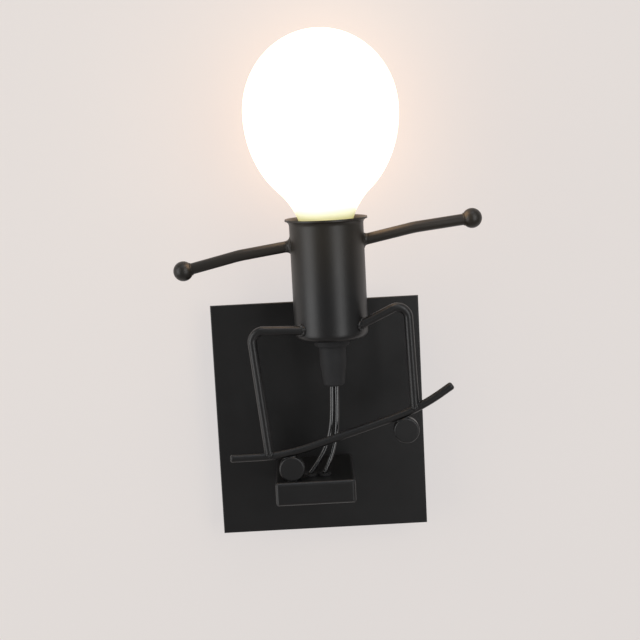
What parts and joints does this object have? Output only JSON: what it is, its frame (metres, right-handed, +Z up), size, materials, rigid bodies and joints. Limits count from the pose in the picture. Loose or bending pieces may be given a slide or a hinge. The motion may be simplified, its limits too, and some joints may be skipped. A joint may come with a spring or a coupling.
{
  "type": "wall lamp",
  "caption": "Wall lamp shaped as a stick figure on a skateboard: back plate with a ledge, welded rod limbs, a cup body with a screw lampholder and a globe bulb head.",
  "frame": {"origin": "middle of the mounting bar's back on the wall, midway between its two screw slots, which is also the middle of the wall plate", "axes": "+Y into the wall, so the lamp stands out towards -Y; +Z up; +X to the right as seen from the room"},
  "size_m": [0.1922, 0.1105, 0.3261],
  "materials": {
    "black_paint": "satin black powder coat",
    "zinc_steel": "bright zinc-plated steel",
    "brass": "plain brass",
    "bronze_strip": "spring bronze strip",
    "white_ceramic": "unglazed white ceramic",
    "black_nylon": "matte black plastic",
    "white_nylon": "matte white plastic",
    "black_rubber": "soft black rubber",
    "black_insulation": "glossy black wire insulation",
    "green_insulation": "glossy green wire insulation",
    "opal_glass": "glowing opal glass",
    "clear_glass": "clear glass",
    "filament": "yellow filament coating",
    "circuit_board": "green circuit board"
  },
  "bodies": {
    "lamp": {"wall_plate": "black_paint", "mounting_bar": "zinc_steel", "side_screws": "zinc_steel", "terminal_block": "white_nylon", "terminal_barrels": "brass", "terminal_screws": "zinc_steel", "block_screw": "zinc_steel", "earth_screw": "brass", "earth_lug": "zinc_steel", "earth_lead": "green_insulation", "ledge": "black_paint", "ledge_grommets": "black_rubber", "plate_grommet": "black_rubber", "skateboard_bar": "black_paint", "rear_wheel": "black_paint", "front_wheel": "black_paint", "left_leg": "black_paint", "right_leg": "black_paint", "body_cup": "black_paint", "left_arm": "black_paint", "right_arm": "black_paint", "left_hand": "black_paint", "right_hand": "black_paint", "cord_grip": "black_nylon", "nipple": "zinc_steel", "tooth_washer": "zinc_steel", "lock_nut": "zinc_steel", "holder_base": "white_ceramic", "holder_barrel": "white_ceramic", "screw_shell": "brass", "contact_tongue": "bronze_strip", "contact_screws": "brass", "holder_terminals": "brass", "holder_screws": "zinc_steel", "live_wire": "black_insulation", "neutral_wire": "black_insulation"},
    "bulb_tip": {"bulb_contact": "zinc_steel"},
    "bulb": {"bulb_globe": "opal_glass", "bulb_cap": "zinc_steel", "cap_insulator": "black_nylon", "bulb_stem": "clear_glass", "led_filaments": "filament", "filament_leads": "zinc_steel", "driver_board": "circuit_board"}
  },
  "joints": [
    {"name": "bulb_rise", "type": "slide", "parent": "lamp", "child": "bulb_tip", "axis": [0, 0, 1], "range_m": [0, 0.01452]},
    {"name": "bulb_turn", "type": "hinge", "parent": "bulb_tip", "child": "bulb", "pos_m": [0.0097, -0.063, 0.2], "axis": [0, 0, 1], "range_deg": [0, 1440]}
  ],
  "couplings": [
    {"joint": "bulb_rise", "follows": "bulb_turn", "m_per_rad": 0.00057757}
  ]
}
